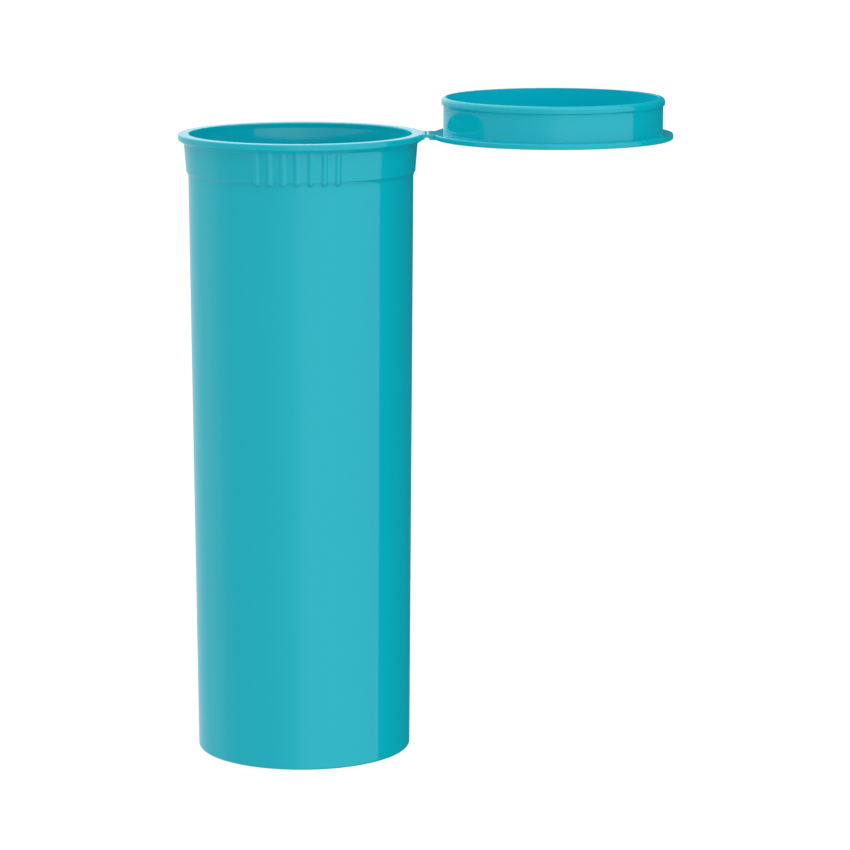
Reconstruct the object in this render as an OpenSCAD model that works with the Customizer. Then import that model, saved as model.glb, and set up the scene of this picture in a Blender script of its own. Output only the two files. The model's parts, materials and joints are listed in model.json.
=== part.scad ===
// Squeeze-mouth prescription vial with a living-hinged plug lid.
// One polypropylene moulding, drawn as it leaves the mould: mouth up, lid laid
// open to the +X side with its inner side up, strap flat between the two.
// Millimetres. +Z is up. The origin is on the vial's axis, at the plane it
// stands on. The strap and its fold line lie toward +X.

/* [Vial] */
// Height from the standing plane to the top of the rim
height = 138.4; // [90:0.1:170]
// Outer radius of the tube at the foot
foot_r = 23.8; // [21:0.1:24.4]
// Outer radius of the tube just under the collar
tube_r = 24.8; // [24.4:0.1:27]
// Wall thickness of the tube
wall = 1; // [0.7:0.05:1.3]

/* [Base] */
// Thickness of the base disc
base_t = 1.3; // [1:0.1:2.5]
// How far the middle of the base is raised off the standing plane
base_recess = 0.7; // [0.4:0.1:1.5]
// Width of the foot ring that the vial stands on
foot_ring_w = 2.4; // [1.5:0.1:4]
// Radius of the rounding on the outer edge of the foot
foot_round = 0.6; // [0.2:0.1:1]

/* [Mouth] */
// Height of the thicker collar, from its shoulder up to the rim
collar_h = 9.55; // [9.3:0.05:12]
// How far the collar's shoulder steps out from the tube
shoulder = 0.45; // [0.3:0.05:0.7]
// Height of the hollow curve under the shoulder's edge
cove_h = 1.3; // [0.9:0.05:1.5]
// How much further the collar flares out by the time it meets the lip
flare = 0.45; // [0.1:0.05:0.6]
// Height of the lip, from its root on the collar to the rim
lip_h = 2.4; // [2:0.1:2.8]
// How far the lip stands out from the top of the tube
lip_out = 2.2; // [1.8:0.1:3]
// How far the mouth's bore is set in from the tube's outer radius
bore_in = 0.3; // [0.25:0.05:0.35]

/* [Squeeze ribs] */
// Number of ribs on each squeeze pad
rib_count = 7; // [3:1:9]
// Angle from one rib to the next
rib_pitch = 6.75; // [5:0.25:9]
// Radius of each rib's half-round section
rib_r = 0.7; // [0.5:0.05:0.9]
// How far each rib stands proud of the collar
rib_proud = 0.38; // [0.2:0.02:0.45]

/* [Lid] */
// Thickness of the lid plate
plate_t = 1.15; // [0.9:0.05:1.6]
// How far the lid plate's edge is set in from the lip's edge
plate_in = 0.58; // [0.3:0.02:0.9]
// Height of the plug, from the lid plate to its end
plug_h = 7.9; // [7:0.1:8.1]
// Radial gap between the plug's skirt and the mouth's bore
plug_gap = 0.35; // [0.3:0.05:0.5]
// Wall thickness of the plug's skirt
skirt_t = 0.9; // [0.7:0.05:1.2]
// Height of the seal bead at the plug's end
bead_h = 1.85; // [1.4:0.05:2.2]
// How far the seal bead stands proud of the skirt
bead_proud = 0.42; // [0.2:0.02:0.46]

/* [Hinge] */
// Distance from the lip's edge to the fold line
fold_out = 0.76; // [0.7:0.02:1]
// Width of the strap along the fold line
strap_w = 9; // [6:0.5:16]
// Half the width of the round groove under the fold line
groove_r = 0.6; // [0.5:0.05:0.65]
// Thickness of the web over that groove
web_t = 0.62; // [0.45:0.01:0.7]
// Radius of the relief along the top of the fold line
relief_r = 0.25; // [0.15:0.01:0.3]
// Height of the fold line above the rim: half the gap under a closed lid
fold_lift = 0.05; // [0.03:0.01:0.1]

/* [Hidden] */
$fn = 180;
teal = [0.16, 0.62, 0.69];

// heights
z_floor = base_recess + base_t;         // top of the base disc
z_step = height - collar_h;             // foot of the collar's shoulder
z_lip = height - lip_h;                 // where the lip grows from the collar
// radii
bore_r = tube_r - bore_in;              // mouth, as the plug sees it
lip_r = tube_r + lip_out;
collar_r0 = tube_r + shoulder;          // at the shoulder's edge
collar_r1 = collar_r0 + flare;          // at the lip's root
skirt_r = bore_r - plug_gap;
bead_r = skirt_r + bead_proud;
// fold line, and the open lid's centre
fold_x = lip_r + fold_out;
fold_z = height + fold_lift;
lid_x = 2 * fold_x;
plate_r = lip_r - plate_in;
// where the seal bead lies once the lid is shut
bead_lo = 2 * fold_z - height - plug_h;
bead_hi = bead_lo + bead_h;
under_r = bead_r + 0.15;                // bore of the undercut that the bead snaps into
ridge_r = skirt_r + 0.05;               // crest of the ridge that holds the bead in
z_ridge = bead_hi + 1.1;                // height of that crest

function outer(z) = foot_r + (tube_r - foot_r) * z / z_step;
function inner(z) = outer(z) - wall;
// points round an arc, in the radius-height plane
function arc(cx, cz, r, a0, a1, n = 6) =
    [for (i = [0:n]) let (a = a0 + (a1 - a0) * i / n) [cx + r * cos(a), cz + r * sin(a)]];
// hollow curve that leaves the wall smoothly and ends at an edge dr out and dz up
function cove(r0, z0, dr, dz, n = 8) =
    let (rho = (dr * dr + dz * dz) / (2 * dr))
        arc(r0 + rho, z0, rho, 180, 180 - asin(dz / rho), n);

// a block along the strap, between two x and two z
module strap_block(x0, x1, z0, z1, w = strap_w)
    translate([x0, -w / 2, z0]) cube([x1 - x0, w, z1 - z0]);

// ---- vial ----

// closed end: foot ring, raised middle and the moulding gate's stub
module base_disc() color(teal) {
    ring_in = foot_r - foot_round - foot_ring_w;
    rotate_extrude()
        polygon(concat(
            [[0, base_recess], [ring_in, base_recess], [ring_in + base_recess, 0]],
            arc(foot_r - foot_round, foot_round, foot_round, -90, 0),
            [[outer(z_floor), z_floor], [0, z_floor]]));
    translate([0, 0, base_recess - 0.25]) cylinder(r = 1.3, h = 0.5);
}

// drafted tube, with a fillet where it meets the base inside
module tube_wall() color(teal)
    rotate_extrude()
        polygon(concat(
            [[outer(z_floor), z_floor], [outer(z_step), z_step],
             [inner(z_step), z_step]],
            arc(inner(z_floor) - 1.2, z_floor + 1.2, 1.2, 0, -90)));

// outline of the collar and the tube's top, as a solid of revolution
function collar_side() = concat(
    cove(tube_r, z_step, shoulder, cove_h),
    [[collar_r1, z_lip]]);

// outline of the lip's underside, sloping up from its root to its lower edge
function lip_side() = concat(
    arc(collar_r1 + 0.4, z_lip + 0.05, 0.4, 180, 124.4, 4),
    arc(lip_r - 0.35, z_lip + 1.34, 0.35, -55.6, 0, 5));

// thicker band that the lid plugs into: entry cone, retaining ridge, undercut
module mouth_collar() color(teal)
    rotate_extrude()
        polygon(concat(
            collar_side(),
            [[bore_r - 0.1, z_lip],
             [ridge_r, z_ridge + 0.15], [ridge_r, z_ridge - 0.15],
             [under_r, bead_hi + 0.3], [under_r, bead_lo - 0.3],
             [tube_r - wall + 0.35, bead_lo - 0.6],
             [tube_r - wall, z_step]]));

// outward lip that stiffens the mouth and carries the strap
module rim_lip() color(teal)
    difference() {
        rotate_extrude()
            polygon(concat(
                [[bore_r - 0.1, z_lip], [collar_r1, z_lip]],
                lip_side(),
                arc(lip_r - 0.3, height - 0.3, 0.3, 0, 90, 4),
                arc(bore_r + 0.3, height - 0.3, 0.3, 90, 180, 4),
                [[bore_r, z_lip + 1.2]]));
        strap_block(lip_r - 1.1, lip_r + 1, height - plate_t, height + 1);
    }

// half-round bars that show where to squeeze, as separate raised bars
module rib_bars()
    difference() {
        for (i = [0 : rib_count - 1])
            rotate([0, 0, (i - (rib_count - 1) / 2) * rib_pitch])
                translate([0, -(collar_r0 + rib_proud - rib_r), z_step + cove_h - 0.15])
                    rotate([atan(flare / (z_lip - z_step - cove_h)), 0, 0]) {
                        sphere(r = rib_r, $fn = 48);
                        cylinder(r = rib_r, h = z_lip - z_step - cove_h + 1.2, $fn = 48);
                    }
        rotate_extrude()
            polygon(concat(
                [[0, z_step - 6], [outer(z_step - 6), z_step - 6]],
                collar_side(),
                lip_side(),
                [[lip_r, height], [0, height]]));
    }

module squeeze_ribs_front() color(teal) rib_bars();
module squeeze_ribs_rear() color(teal) rotate([0, 0, 180]) rib_bars();

// end of the strap that is rooted in the vial's lip
module hinge_root_tab() color(teal)
    strap_block(lip_r - 1.1, fold_x - groove_r, height - plate_t, height);

// thin web that folds: round groove below, small round relief above
module hinge_web() color(teal)
    difference() {
        strap_block(fold_x - groove_r, fold_x + groove_r, height - plate_t, height);
        translate([fold_x, -strap_w, height - web_t - groove_r])
            rotate([-90, 0, 0]) cylinder(r = groove_r, h = 2 * strap_w, $fn = 64);
        strap_block(fold_x - groove_r, fold_x + groove_r,
                    height - plate_t - 1, height - web_t - groove_r, 2 * strap_w);
        translate([fold_x, -strap_w, fold_z])
            rotate([-90, 0, 0]) cylinder(r = relief_r, h = 2 * strap_w, $fn = 64);
    }

// ---- lid, lying open ----

// end of the strap that is rooted in the lid plate
module hinge_lid_tab() color(teal)
    strap_block(fold_x + groove_r + 0.05, lid_x - plate_r + 1.1, height - plate_t, height);

// flat round plate that closes on the rim
module lid_plate() color(teal)
    difference() {
        translate([lid_x, 0, 0])
            rotate_extrude()
                polygon(concat(
                    [[0, height - plate_t]],
                    arc(plate_r - 0.3, height - plate_t + 0.3, 0.3, -90, 0, 4),
                    arc(plate_r - 0.2, height - 0.2, 0.2, 0, 90, 4),
                    [[0, height]]));
        strap_block(lid_x - plate_r - 1, lid_x - plate_r + 1.1,
                    height - plate_t - 1, height + 1);
    }

// ring wall that plugs the mouth
module plug_skirt() color(teal)
    translate([lid_x, 0, 0])
        rotate_extrude()
            polygon([[skirt_r - skirt_t, height], [skirt_r, height],
                     [skirt_r, height + plug_h - bead_h],
                     [skirt_r - skirt_t, height + plug_h - bead_h]]);

// rounded bead round the plug's end, which snaps past the ridge
module seal_bead() color(teal)
    translate([lid_x, 0, height + plug_h - bead_h])
        rotate_extrude()
            polygon(concat(
                [[skirt_r - skirt_t, 0], [skirt_r, 0]],
                [for (i = [1:5]) let (a = 90 * i / 5)
                    [skirt_r + bead_proud * sin(a), 0.75 * (1 - cos(a))]],
                [for (i = [1:7]) let (a = 90 * i / 7)
                    [bead_r - 0.95 * (1 - cos(a)), 0.75 + (bead_h - 0.75) * sin(a)]],
                [[skirt_r - skirt_t, bead_h - 0.12]]));

base_disc();
tube_wall();
mouth_collar();
rim_lip();
squeeze_ribs_front();
squeeze_ribs_rear();
hinge_root_tab();
hinge_web();
hinge_lid_tab();
lid_plate();
plug_skirt();
seal_bead();
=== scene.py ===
"""Squeeze-mouth prescription vial with a living-hinged plug lid.

One glossy polypropylene moulding, shown as it leaves the mould with its lid laid open to +X.
Metres, +Z up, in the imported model's frame.
"""
import json
import math

import bpy
import numpy as np
from mathutils import Euler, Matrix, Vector


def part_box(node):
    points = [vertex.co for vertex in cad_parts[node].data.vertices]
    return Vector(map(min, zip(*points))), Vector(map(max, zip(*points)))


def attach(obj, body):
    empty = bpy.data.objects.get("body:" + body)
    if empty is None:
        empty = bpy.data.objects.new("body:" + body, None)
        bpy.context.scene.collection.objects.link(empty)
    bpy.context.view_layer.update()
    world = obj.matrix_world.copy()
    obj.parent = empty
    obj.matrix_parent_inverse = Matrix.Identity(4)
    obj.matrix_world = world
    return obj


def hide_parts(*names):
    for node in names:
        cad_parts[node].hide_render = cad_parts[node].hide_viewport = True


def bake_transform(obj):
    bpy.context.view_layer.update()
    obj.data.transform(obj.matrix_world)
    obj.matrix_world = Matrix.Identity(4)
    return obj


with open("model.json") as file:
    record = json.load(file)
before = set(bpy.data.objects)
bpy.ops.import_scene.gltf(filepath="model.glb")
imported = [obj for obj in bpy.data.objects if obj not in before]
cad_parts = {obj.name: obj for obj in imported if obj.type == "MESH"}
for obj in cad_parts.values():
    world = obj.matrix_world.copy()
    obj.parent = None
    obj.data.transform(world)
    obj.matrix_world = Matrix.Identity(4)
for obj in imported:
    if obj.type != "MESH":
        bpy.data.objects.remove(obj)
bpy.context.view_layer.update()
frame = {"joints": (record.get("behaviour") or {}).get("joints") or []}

MM = 0.001


def mm(node):
    """A CAD node's lowest and highest corner, in millimetres."""
    lo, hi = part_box(node)
    return np.array(lo) / MM, np.array(hi) / MM


# ------------------------------------------------------------------ sizes
# All lengths in millimetres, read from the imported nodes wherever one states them.
LIP_LO, LIP_HI = mm("rim_lip")
COL_LO, COL_HI = mm("mouth_collar")
TUBE_LO, TUBE_HI = mm("tube_wall")
BASE_LO, BASE_HI = mm("base_disc")
PLATE_LO, PLATE_HI = mm("lid_plate")
SKIRT_LO, SKIRT_HI = mm("plug_skirt")
BEAD_LO, BEAD_HI = mm("seal_bead")
ROOT_LO, ROOT_HI = mm("hinge_root_tab")
TAB_LO, TAB_HI = mm("hinge_lid_tab")
WEB_LO, WEB_HI = mm("hinge_web")

HINGE = next(j for j in frame["joints"] if j["name"] == "lid_hinge")
FOLD_X, FOLD_Z = HINGE["pos_m"][0] / MM, HINGE["pos_m"][2] / MM
LID_X = 2 * FOLD_X

RIM_Z = LIP_HI[2]
LIP_R = LIP_HI[0]
STEP_Z = COL_LO[2]                       # foot of the collar's shoulder
TUBE_R = TUBE_HI[0]                      # outer radius there
FOOT_R = BASE_HI[0] - (TUBE_R - BASE_HI[0]) * BASE_HI[2] / (STEP_Z - BASE_HI[2])
COLLAR_R = COL_HI[0]                     # outer radius at the lip's root
PLATE_R = PLATE_HI[0] - LID_X
SKIRT_R = SKIRT_HI[0] - LID_X
BEAD_R = BEAD_HI[0] - LID_X
WALL = 1.0
CONE = math.tan(math.radians(4.95))      # taper of the mouth's lead-in
BORE_R = 24.5
FLOOR_Z = BASE_HI[2]
BEAD_Z0, BEAD_Z1 = BEAD_LO[2], BEAD_HI[2]


def outer(z):
    """The tube's outer radius at a height: a straight draft."""
    return FOOT_R + (TUBE_R - FOOT_R) * z / STEP_Z


# ------------------------------------------------------------------ profiles
def path(corners, closed=True, hold=0.14, longest=3.0, step=10.0):
    """Points along a polygon whose corners are rounded.

    corners holds (r, z) or (r, z, radius). Each straight run gets a point close to both of its ends, which keeps a fillet's
    shading off the flat, and is divided so that no piece of it is longer than longest. Returns the points, and the
    numbers of those that are sharp corners.
    """
    n = len(corners)
    c = [(x[0], x[1], x[2] if len(x) > 2 else 0.0) for x in corners]
    arcs = []
    for i in range(n):
        p = np.array(c[i][:2])
        if c[i][2] <= 0 or (not closed and i in (0, n - 1)):
            arcs.append(([p], True))
            continue
        a = np.array(c[i - 1][:2]) - p
        b = np.array(c[(i + 1) % n][:2]) - p
        a, b = a / np.linalg.norm(a), b / np.linalg.norm(b)
        half = math.acos(np.clip(a @ b, -1, 1)) / 2
        d = c[i][2] / math.tan(half)
        centre = p + (a + b) / np.linalg.norm(a + b) * c[i][2] / math.sin(half)
        s, e = p + a * d - centre, p + b * d - centre
        turn = math.atan2(s[0] * e[1] - s[1] * e[0], s @ e)
        k = max(2, math.ceil(abs(math.degrees(turn)) / step))
        pts = []
        for j in range(k + 1):
            t = turn * j / k
            pts.append(centre + np.array([s[0] * math.cos(t) - s[1] * math.sin(t),
                                          s[0] * math.sin(t) + s[1] * math.cos(t)]))
        arcs.append((pts, False))
    out, sharp = [], []
    for i in range(n):
        pts, corner = arcs[i]
        if corner:
            sharp.append(len(out))
        out += pts
        if i == n - 1 and not closed:
            break
        a, b = pts[-1], arcs[(i + 1) % n][0][0]
        length = np.linalg.norm(b - a)
        if length < 0.05:
            continue
        h = min(hold, length / 3)
        stops = [h / length]
        k = max(1, math.ceil((length - 2 * h) / longest))
        stops += [(h + (length - 2 * h) * j / k) / length for j in range(1, k + 1)]
        out += [a + (b - a) * t for t in stops]
    return np.array(out), sharp


def ring_angles(n):
    return np.arange(n) * 2 * math.pi / n


def build(name, verts, faces, material, sharp_edges=()):
    mesh = bpy.data.meshes.new(name)
    mesh.from_pydata([tuple(v) for v in np.asarray(verts, float) * MM], [], faces)
    mesh.validate(verbose=False)
    mesh.update()
    v = np.array([x.co for x in mesh.vertices])
    volume = sum(
        float(np.dot(v[f[0]], np.cross(v[f[i]], v[f[i + 1]])))
        for f in faces for i in range(1, len(f) - 1)
    )
    if volume < 0:
        mesh.flip_normals()
    mesh.polygons.foreach_set("use_smooth", [True] * len(mesh.polygons))
    if sharp_edges:
        wanted = {tuple(sorted(e)) for e in sharp_edges}
        flags = [tuple(sorted(e.vertices)) in wanted for e in mesh.edges]
        a = mesh.attributes.get("sharp_edge") or mesh.attributes.new("sharp_edge", "BOOLEAN", "EDGE")
        a.data.foreach_set("value", flags)
    mesh.materials.append(material)
    obj = bpy.data.objects.new(name, mesh)
    bpy.context.scene.collection.objects.link(obj)
    return obj


def revolve(name, pts, sharp, material, angles, centre=0.0, radius=None, closed=True):
    """A closed profile turned about a vertical axis at x = centre.

    radius(k, r, z, angle) may move the profile's point k in or out at an angle. An open profile starts and ends on the
    axis, and is closed there by two fans.
    """
    m, n = len(pts), len(angles)
    cos, sin = np.cos(angles), np.sin(angles)
    verts, start = [], []
    for k, (r, z) in enumerate(pts):
        start.append(len(verts))
        if not closed and k in (0, m - 1):
            verts.append((centre, 0.0, z))
            continue
        rr = np.full(n, r) if radius is None else radius(k, r, z, angles)
        verts += list(zip(centre + rr * cos, rr * sin, np.full(n, z)))
    faces, edges = [], []
    for k in range(m if closed else m - 1):
        a, b = start[k], start[(k + 1) % m]
        pole_a, pole_b = (not closed and k == 0), (not closed and k == m - 2)
        for j in range(n):
            j1 = (j + 1) % n
            if pole_a:
                faces.append((a, b + j1, b + j))
            elif pole_b:
                faces.append((a + j, a + j1, b))
            else:
                faces.append((a + j, a + j1, b + j1, b + j))
    for k in sharp:
        if closed or k not in (0, m - 1):
            edges += [(start[k] + j, start[k] + (j + 1) % n) for j in range(n)]
    return build(name, verts, faces, material, edges)


# ------------------------------------------------------------------ material
def teal_plastic(name, seed):
    """Glossy opaque polypropylene. The noise gives the faint flow marks, gloss changes and fine ripple of a moulded skin."""
    mat = bpy.data.materials.new(name)
    mat.use_nodes = True
    nt = mat.node_tree
    nt.nodes.clear()
    new, link = nt.nodes.new, nt.links.new
    out = new("ShaderNodeOutputMaterial")
    bsdf = new("ShaderNodeBsdfPrincipled")
    link(bsdf.outputs["BSDF"], out.inputs["Surface"])
    coord = new("ShaderNodeTexCoord")

    # flow marks, drawn out along the melt's path up the wall
    stretch = new("ShaderNodeMapping")
    stretch.inputs["Location"].default_value = (seed * 0.37, seed * 0.11, seed * 0.53)
    stretch.inputs["Scale"].default_value = (1.0, 1.0, 0.22)
    link(coord.outputs["Object"], stretch.inputs["Vector"])
    flow = new("ShaderNodeTexNoise")
    flow.inputs["Scale"].default_value = 95.0
    flow.inputs["Detail"].default_value = 3.0
    flow.inputs["Roughness"].default_value = 0.45
    link(stretch.outputs["Vector"], flow.inputs["Vector"])

    tint = new("ShaderNodeMix")
    tint.data_type = "RGBA"
    tint.inputs["A"].default_value = BASE_A
    tint.inputs["B"].default_value = BASE_B
    link(flow.outputs["Fac"], tint.inputs["Factor"])
    link(tint.outputs["Result"], bsdf.inputs["Base Color"])

    # gloss varies a little with the tool's polish
    polish = new("ShaderNodeTexNoise")
    polish.inputs["Scale"].default_value = 420.0
    polish.inputs["Detail"].default_value = 4.0
    polish.inputs["Roughness"].default_value = 0.6
    link(coord.outputs["Object"], polish.inputs["Vector"])
    gloss = new("ShaderNodeMapRange")
    gloss.inputs["From Min"].default_value = 0.3
    gloss.inputs["From Max"].default_value = 0.7
    gloss.inputs["To Min"].default_value = ROUGH_LO
    gloss.inputs["To Max"].default_value = ROUGH_HI
    link(polish.outputs["Fac"], gloss.inputs["Value"])
    link(gloss.outputs["Result"], bsdf.inputs["Roughness"])

    # the fine ripple of a moulded skin
    ripple = new("ShaderNodeTexNoise")
    ripple.inputs["Scale"].default_value = 900.0
    ripple.inputs["Detail"].default_value = 2.0
    link(coord.outputs["Object"], ripple.inputs["Vector"])
    bump = new("ShaderNodeBump")
    bump.inputs["Strength"].default_value = 0.02
    bump.inputs["Distance"].default_value = 0.00002
    link(ripple.outputs["Fac"], bump.inputs["Height"])
    link(bump.outputs["Normal"], bsdf.inputs["Normal"])

    bsdf.inputs["IOR"].default_value = 1.5
    bsdf.inputs["Sheen Weight"].default_value = 0.60
    bsdf.inputs["Sheen Roughness"].default_value = 0.50
    bsdf.inputs["Sheen Tint"].default_value = (0.0, 0.80, 1.0, 1.0)
    return mat


BASE_A = (0.0015, 0.535, 0.655, 1.0)
BASE_B = (0.0020, 0.555, 0.680, 1.0)
ROUGH_LO, ROUGH_HI = 0.05, 0.08
VIAL_MAT = teal_plastic("vial_teal_polypropylene", 1)
LID_MAT = teal_plastic("lid_teal_polypropylene", 2)
STRAP_MAT = teal_plastic("strap_teal_polypropylene", 3)

SEGMENTS = 256

# ------------------------------------------------------------------ base
CUT_BASE = FLOOR_Z + 2.0                 # the base piece includes the floor's inside fillet
recess = 0.7
ring_in = FOOT_R - 3.0
corners = [
    (0, recess), (1.25, recess, 0.15), (1.35, recess - 0.22, 0.06), (1.9, recess - 0.22, 0.1), (2.2, recess, 0.3),
    (ring_in, recess, 0.6), (ring_in + 0.75, 0, 0.35), (FOOT_R, 0, 0.6),
    (outer(CUT_BASE), CUT_BASE), (outer(CUT_BASE) - WALL, CUT_BASE),
    (outer(FLOOR_Z) - WALL, FLOOR_Z, 1.2), (0, FLOOR_Z),
]
pts, sharp = path(corners, closed=False, longest=2.5)
base = revolve("base_disc_shell", pts, sharp, VIAL_MAT, ring_angles(SEGMENTS), closed=False)
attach(base, "vial")
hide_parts("base_disc")

# ------------------------------------------------------------------ tube
CUT_TUBE = STEP_Z - 3.0
corners = [
    (outer(CUT_BASE), CUT_BASE), (outer(CUT_TUBE), CUT_TUBE),
    (outer(CUT_TUBE) - WALL, CUT_TUBE), (outer(CUT_BASE) - WALL, CUT_BASE),
]
pts, sharp = path(corners, longest=4.0)
tube = revolve("tube_wall_shell", pts, sharp, VIAL_MAT, ring_angles(SEGMENTS))
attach(tube, "vial")
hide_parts("tube_wall")

# ------------------------------------------------------------------ collar, ribs and lip
RIBS = 7
PITCH = math.radians(6.75)
RIB_R = 0.70
RIB_PROUD = 0.38
COVE = 1.3                               # height of the hollow curve under the shoulder's edge
EDGE_Z = STEP_Z + COVE                   # the shoulder's edge
EDGE_R = TUBE_R + 0.45
LIP_ROOT = COL_HI[2]
FLARE = (COLLAR_R - EDGE_R) / (LIP_ROOT - EDGE_Z)


def collar_line(z):
    """The collar's outer radius, with the flare carried on below the shoulder."""
    return EDGE_R + FLARE * (z - EDGE_Z)


def smooth_max(a, b, k):
    h = np.clip(0.5 + 0.5 * (a - b) / k, 0, 1)
    return b + (a - b) * h + k * h * (1 - h)


RIB_FOOT = EDGE_Z - 0.15                 # centre of each rib's rounded lower end


def rib_radius(r, z, angles):
    """The outer surface with the squeeze ribs raised out of it, on both sides of the mouth."""
    best = np.full(len(angles), -1e3)
    for side in (-math.pi / 2, math.pi / 2):
        for i in range(RIBS):
            a = side + (i - (RIBS - 1) / 2) * PITCH
            d = (angles - a + math.pi) % (2 * math.pi) - math.pi
            across = np.sin(d) * collar_line(z)
            down = max(0.0, RIB_FOOT - z)
            left = RIB_R ** 2 - across ** 2 - down ** 2
            bar = collar_line(max(z, RIB_FOOT)) + RIB_PROUD - RIB_R + np.sqrt(np.clip(left, 0, None))
            best = np.where(left > 0, np.maximum(best, bar), best)
    return np.where(best > 0, smooth_max(best, np.full_like(best, r), 0.16), r)


def collar_angles():
    """Columns round the mouth: fine across the ribs, wider elsewhere."""
    half = (RIBS + 1) / 2 * PITCH
    fine = np.linspace(-half, half, (RIBS + 1) * 20 + 1)
    coarse = np.linspace(half, math.pi - half, 92)[1:-1]
    one = np.concatenate([fine - math.pi / 2, coarse - math.pi / 2])
    return np.concatenate([one, one + math.pi])


ANGLES = collar_angles()
CUT_LIP = LIP_ROOT - 0.45
SLOPE = math.tan(math.radians(34.4))     # of the lip's underside
root = (COLLAR_R + 0.06, LIP_ROOT + 0.30)
lip = [
    (collar_line(CUT_LIP), CUT_LIP),
    (root[0], root[1], 0.45),
    (LIP_R, root[1] + SLOPE * (LIP_R - root[0]), 0.33),
    (LIP_R, RIM_Z, 0.3),
    (BORE_R, RIM_Z, 0.3),
    (BORE_R, LIP_ROOT + 1.2, 0.5),
    (BORE_R - (LIP_ROOT + 1.2 - CUT_LIP) * CONE, CUT_LIP),
]
pts, sharp = path(lip, longest=0.5, hold=0.08, step=9)


def lip_radius(k, r, z, angles):
    """Only the lip's underside and root carry ribs."""
    return rib_radius(r, z, angles) if r > BORE_R + 1 and z < LIP_ROOT + 1 else np.full(len(angles), r)


lip_obj = revolve("rim_lip_ring", pts, sharp, VIAL_MAT, ANGLES, radius=lip_radius)
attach(lip_obj, "vial")
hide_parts("rim_lip")

bead_lo = 2 * FOLD_Z - BEAD_Z1           # where the bead lies once the lid is shut
bead_hi = 2 * FOLD_Z - BEAD_Z0
ridge_z = bead_hi + 1.1
ridge_r = BORE_R - (LIP_ROOT + 1.2 - ridge_z) * CONE
under_r = BEAD_R + 0.15
rho = (0.45 ** 2 + COVE ** 2) / 0.9      # the cove leaves the wall smoothly and ends at the edge
turn = math.asin(COVE / rho)
collar = [
    (outer(CUT_TUBE), CUT_TUBE),
    (TUBE_R, STEP_Z + rho * math.tan(turn / 2), rho * 0.92), (EDGE_R, EDGE_Z, 0.12),
    (collar_line(CUT_LIP), CUT_LIP),
    (BORE_R - (LIP_ROOT + 1.2 - CUT_LIP) * CONE, CUT_LIP),
    (ridge_r, ridge_z, 0.4), (under_r, bead_hi + 0.3, 0.3),
    (under_r, bead_lo - 0.3, 0.3), (TUBE_R - WALL, bead_lo - 1.2, 0.6),
    (outer(CUT_TUBE) - WALL, CUT_TUBE),
]
pts, sharp = path(collar, longest=0.45, hold=0.1, step=9)


def collar_radius(k, r, z, angles):
    return rib_radius(r, z, angles) if is_outside[k] else np.full(len(angles), r)


last_outside = int(np.argmin(np.hypot(pts[:, 0] - collar_line(CUT_LIP), pts[:, 1] - CUT_LIP)))
is_outside = [k <= last_outside for k in range(len(pts))]
collar_obj = revolve("mouth_collar_ring", pts, sharp, VIAL_MAT, ANGLES, radius=collar_radius)
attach(collar_obj, "vial")
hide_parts("mouth_collar", "squeeze_ribs_front", "squeeze_ribs_rear")

# ------------------------------------------------------------------ lid
T = RIM_Z - PLATE_LO[2]
corners = [(0, PLATE_LO[2]), (PLATE_R, PLATE_LO[2], 0.3), (PLATE_R, RIM_Z, 0.22), (0, RIM_Z)]
corners = [(0, PLATE_LO[2]), (1.6, PLATE_LO[2], 0.2), (1.9, PLATE_LO[2] + 0.12, 0.1), (2.3, PLATE_LO[2] + 0.12, 0.1),
           (2.6, PLATE_LO[2], 0.2), (PLATE_R, PLATE_LO[2], 0.3), (PLATE_R, RIM_Z, 0.22), (0, RIM_Z)]
pts, sharp = path(corners, closed=False, longest=2.5)
plate = revolve("lid_plate_disc", pts, sharp, LID_MAT, ring_angles(SEGMENTS), centre=LID_X, closed=False)
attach(plate, "lid")
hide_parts("lid_plate")

skirt_in = SKIRT_R - 0.9
CUT_BEAD = BEAD_Z0 - 0.5
corners = [
    (skirt_in - 0.5, RIM_Z), (SKIRT_R, RIM_Z), (SKIRT_R, CUT_BEAD), (skirt_in, CUT_BEAD), (skirt_in, RIM_Z + 0.5, 0.3),
]
corners = [(skirt_in, RIM_Z), (SKIRT_R, RIM_Z), (SKIRT_R, CUT_BEAD), (skirt_in, CUT_BEAD)]
pts, sharp = path(corners, longest=1.0)
skirt = revolve("plug_skirt_ring", pts, sharp, LID_MAT, ring_angles(SEGMENTS), centre=LID_X)
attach(skirt, "lid")
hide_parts("plug_skirt")

corners = [
    (skirt_in, CUT_BEAD), (SKIRT_R, CUT_BEAD), (SKIRT_R, BEAD_Z0 + 0.02, 0.25), (BEAD_R, BEAD_Z0 + 0.32, 0.4),
    (BEAD_R, BEAD_Z1, 0.85), (skirt_in, BEAD_Z1, 0.12),
]
pts, sharp = path(corners, longest=0.6, hold=0.06, step=8)
bead = revolve("seal_bead_ring", pts, sharp, LID_MAT, ring_angles(SEGMENTS), centre=LID_X)
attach(bead, "lid")
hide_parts("seal_bead")

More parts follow.
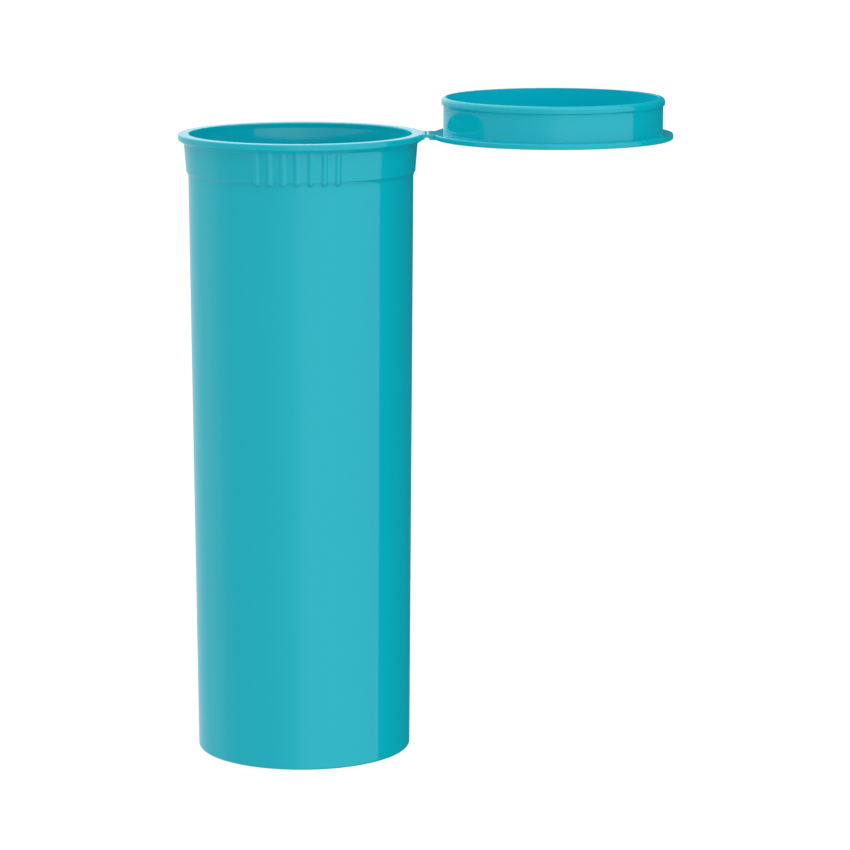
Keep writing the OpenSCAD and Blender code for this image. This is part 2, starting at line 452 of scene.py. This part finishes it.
# ------------------------------------------------------------------ strap
def strap_outline(n_half):
    """Top and bottom heights along x: two tabs, a round groove under the fold line and a faint valley over it."""
    x0, x1 = ROOT_LO[0] + 0.25, TAB_HI[0] - 0.25
    top, low = RIM_Z + 0.003, ROOT_LO[2] - 0.003   # a hair proud of the lip's and the plate's faces
    web = RIM_Z - 0.62
    g, rel, lift = 0.60, 0.60, 0.50
    xs = np.concatenate([
        np.linspace(x0, FOLD_X - g - 0.12, 14, endpoint=False),
        FOLD_X + np.linspace(-g - 0.12, g + 0.12, n_half),
        np.linspace(x1, FOLD_X + g + 0.12, 22, endpoint=False)[::-1],
    ])
    d = np.abs(xs - FOLD_X)
    cz = web - g
    arch = np.where(d < g, cz + np.sqrt(np.clip(g * g - d * d, 0, None)), -1e3)
    bottom = smooth_max(arch, np.full_like(arch, low), 0.08)
    bottom = np.where(d < g + 0.1, bottom, low)
    dip = np.where(d < rel, FOLD_Z + lift - np.sqrt(np.clip(rel * rel - d * d, 0, None)), 1e3)
    up = -smooth_max(-dip, np.full_like(dip, -top), 0.05)
    up = np.where(d < rel + 0.06, up, top)
    return xs, up, bottom


def strap_half(x):
    """Half the strap's width, with a small fillet where it runs into the lip and into the lid plate."""
    half, f = ROOT_HI[1], 0.5
    reach = min(x - math.sqrt(LIP_R ** 2 - half ** 2), LID_X - math.sqrt(PLATE_R ** 2 - half ** 2) - x)
    left = f - max(reach, 0.0)
    return half + (f - math.sqrt(f * f - left * left) if left > 0 else 0.0)


def make_strap():
    xs, up, bottom = strap_outline(41)
    e = 0.12                             # rounding of the strap's long edges
    verts, rows = [], []
    for x, t, b in zip(xs, up, bottom):
        ring = []
        half = strap_half(x)
        h = min(e, (t - b) * 0.4)
        ys = np.linspace(-half + h, half - h, 15)
        for y in ys:
            ring.append((x, y, t))
        for a in np.linspace(75, 0, 6):
            ring.append((x, half - h + h * math.cos(math.radians(a)), t - h + h * math.sin(math.radians(a))))
        for z in np.linspace(t - h, b + h, 6)[1:-1]:
            ring.append((x, half, z))
        for a in np.linspace(0, -75, 6):
            ring.append((x, half - h + h * math.cos(math.radians(a)), b + h + h * math.sin(math.radians(a))))
        for y in ys[::-1]:
            ring.append((x, y, b))
        for a in np.linspace(75, 0, 6):
            ring.append((x, -half + h - h * math.cos(math.radians(a)), b + h - h * math.sin(math.radians(a))))
        for z in np.linspace(b + h, t - h, 6)[1:-1]:
            ring.append((x, -half, z))
        for a in np.linspace(0, -75, 6):
            ring.append((x, -half + h - h * math.cos(math.radians(a)), t - h - h * math.sin(math.radians(a))))
        rows.append(len(verts))
        verts += ring
    m = len(verts) // len(xs)
    faces = []
    for i in range(len(xs) - 1):
        a, b = rows[i], rows[i + 1]
        for j in range(m):
            j1 = (j + 1) % m
            faces.append((a + j, a + j1, b + j1, b + j))
    for i, flip in ((0, False), (len(xs) - 1, True)):
        c = len(verts)
        ring = verts[rows[i]:rows[i] + m]
        verts.append(tuple(np.mean(ring, axis=0)))
        for j in range(m):
            j1 = (j + 1) % m
            faces.append((c, rows[i] + j, rows[i] + j1) if flip else (c, rows[i] + j1, rows[i] + j))
    edges = []
    for i in (0, len(xs) - 1):
        edges += [(rows[i] + j, rows[i] + (j + 1) % m) for j in range(m)]
    return build("hinge_strap", verts, faces, STRAP_MAT, edges)


strap = make_strap()
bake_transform(strap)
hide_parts("hinge_root_tab", "hinge_web", "hinge_lid_tab")

# ------------------------------------------------------------------ floor
floor_mesh = bpy.data.meshes.new("floor")
S = 6.0
floor_mesh.from_pydata([(-S, -S, 0), (S, -S, 0), (S, S, 0), (-S, S, 0)], [], [(0, 1, 2, 3)])
floor = bpy.data.objects.new("floor", floor_mesh)
bpy.context.scene.collection.objects.link(floor)
floor_mat = bpy.data.materials.new("pale_floor")
floor_mat.use_nodes = True
nt = floor_mat.node_tree
nt.nodes.clear()
out = nt.nodes.new("ShaderNodeOutputMaterial")
glow = nt.nodes.new("ShaderNodeEmission")
glow.inputs["Color"].default_value = (1, 1, 1, 1)
glow.inputs["Strength"].default_value = 0.975
matt = nt.nodes.new("ShaderNodeBsdfDiffuse")
matt.inputs["Color"].default_value = (0.05, 0.05, 0.05, 1)
both = nt.nodes.new("ShaderNodeAddShader")
nt.links.new(glow.outputs[0], both.inputs[0])
nt.links.new(matt.outputs[0], both.inputs[1])
clear = nt.nodes.new("ShaderNodeBsdfTransparent")
geo = nt.nodes.new("ShaderNodeNewGeometry")
under = nt.nodes.new("ShaderNodeMixShader")
nt.links.new(geo.outputs["Backfacing"], under.inputs[0])
nt.links.new(both.outputs[0], under.inputs[1])
nt.links.new(clear.outputs[0], under.inputs[2])
nt.links.new(under.outputs[0], out.inputs["Surface"])
floor_mesh.materials.append(floor_mat)
floor.visible_glossy = False
floor.visible_diffuse = False
floor.visible_shadow = False

# ------------------------------------------------------------------ studio light
world = bpy.data.worlds.new("studio")
bpy.context.scene.world = world
world.use_nodes = True
nt = world.node_tree
nt.nodes.clear()
new, link = nt.nodes.new, nt.links.new
out = new("ShaderNodeOutputWorld")
coord = new("ShaderNodeTexCoord")
xyz = new("ShaderNodeSeparateXYZ")
link(coord.outputs["Generated"], xyz.inputs[0])
minus_y = new("ShaderNodeMath"); minus_y.operation = "MULTIPLY"; minus_y.inputs[1].default_value = -1.0
link(xyz.outputs["Y"], minus_y.inputs[0])
az = new("ShaderNodeMath"); az.operation = "ARCTAN2"
link(xyz.outputs["X"], az.inputs[0]); link(minus_y.outputs[0], az.inputs[1])
turn = new("ShaderNodeMapRange")
turn.inputs["From Min"].default_value = -math.pi
turn.inputs["From Max"].default_value = math.pi
link(az.outputs[0], turn.inputs["Value"])


def ramp(stops):
    """A colour ramp with grey stops (position 0-1, value)."""
    node = new("ShaderNodeValToRGB")
    els = node.color_ramp.elements
    while len(els) > 1:
        els.remove(els[-1])
    els[0].position, els[0].color = stops[0][0], (stops[0][1],) * 3 + (1,)
    for p, v in stops[1:]:
        e = els.new(p)
        e.color = (v,) * 3 + (1,)
    return node


def deg(a):
    return (a + 180) / 360


# brightness by compass direction: 0 faces the front, 90 is the hinge side, 180 the back
AZIMUTH = [
    (-180, 0.85), (-165, 0.78), (-140, 0.73), (-124, 0.68), (-115, 0.77), (-97, 0.76), (-88, 0.56), (-75, 0.48),
    (-35, 0.49), (-18, 0.54), (-8, 0.62), (4, 0.92), (40, 0.88), (80, 0.80), (89, 0.80), (90.5, 0.02), (135, 0.03), (180, 0.05),
]
compass = ramp([(deg(a), v) for a, v in AZIMUTH])
link(turn.outputs["Result"], compass.inputs["Fac"])
# brightness by height: -1 is straight down, 1 straight up
height = new("ShaderNodeMapRange")
height.inputs["From Min"].default_value = -1.0
height.inputs["From Max"].default_value = 1.0
link(xyz.outputs["Z"], height.inputs["Value"])
HEIGHT = [(0.0, 0.85), (0.35, 0.95), (0.46, 1.0), (0.54, 1.15), (1.0, 1.15)]
tilt = ramp(HEIGHT)
link(height.outputs["Result"], tilt.inputs["Fac"])
glow = new("ShaderNodeMath"); glow.operation = "MULTIPLY"
link(compass.outputs["Color"], glow.inputs[0]); link(tilt.outputs["Color"], glow.inputs[1])
lamp = new("ShaderNodeBackground")
# a soft box overhead
above = new("ShaderNodeMapRange")
above.interpolation_type = "SMOOTHSTEP"
above.inputs["From Min"].default_value = 0.55
above.inputs["From Max"].default_value = 0.90
above.inputs["To Max"].default_value = 0.58
link(xyz.outputs["Z"], above.inputs["Value"])
upper = new("ShaderNodeMath"); upper.operation = "ADD"
link(glow.outputs[0], upper.inputs[0]); link(above.outputs["Result"], upper.inputs[1])
# a low bright strip behind, to the left, that the rim's flat top mirrors
behind = ramp([(deg(-180), 0.28), (deg(-150), 0.25), (deg(-120), 0.0), (deg(180), 0.0)])
link(turn.outputs["Result"], behind.inputs["Fac"])
low = new("ShaderNodeMapRange")
low.inputs["From Min"].default_value = 0.0
low.inputs["From Max"].default_value = 0.08
link(xyz.outputs["Z"], low.inputs["Value"])
strip = new("ShaderNodeMath"); strip.operation = "MULTIPLY"
link(behind.outputs["Color"], strip.inputs[0]); link(low.outputs["Result"], strip.inputs[1])
total = new("ShaderNodeMath"); total.operation = "ADD"
link(upper.outputs[0], total.inputs[0]); link(strip.outputs[0], total.inputs[1])
link(total.outputs[0], lamp.inputs["Color"])
plain = new("ShaderNodeBackground")
plain.inputs["Color"].default_value = (1, 1, 1, 1)
rays = new("ShaderNodeLightPath")
pick = new("ShaderNodeMixShader")
link(rays.outputs["Is Camera Ray"], pick.inputs[0])
link(lamp.outputs[0], pick.inputs[1])
link(plain.outputs[0], pick.inputs[2])
link(pick.outputs[0], out.inputs["Surface"])

# ------------------------------------------------------------------ camera
cam_data = bpy.data.cameras.new("camera")
cam = bpy.data.objects.new("camera", cam_data)
bpy.context.scene.collection.objects.link(cam)
bpy.context.scene.camera = cam
cam_data.sensor_width = 36.0
cam_data.lens = 3610.076 / 850 * 36.0
cam_data.dof.use_dof = False
cam_data.clip_start, cam_data.clip_end = 0.01, 50.0
cam.location = (0.0273517, -0.7933712, 0.2153132)
cam.rotation_euler = Euler((math.pi / 2 - 0.1774, 0, 0))

bpy.context.scene.view_settings.view_transform = "Standard"
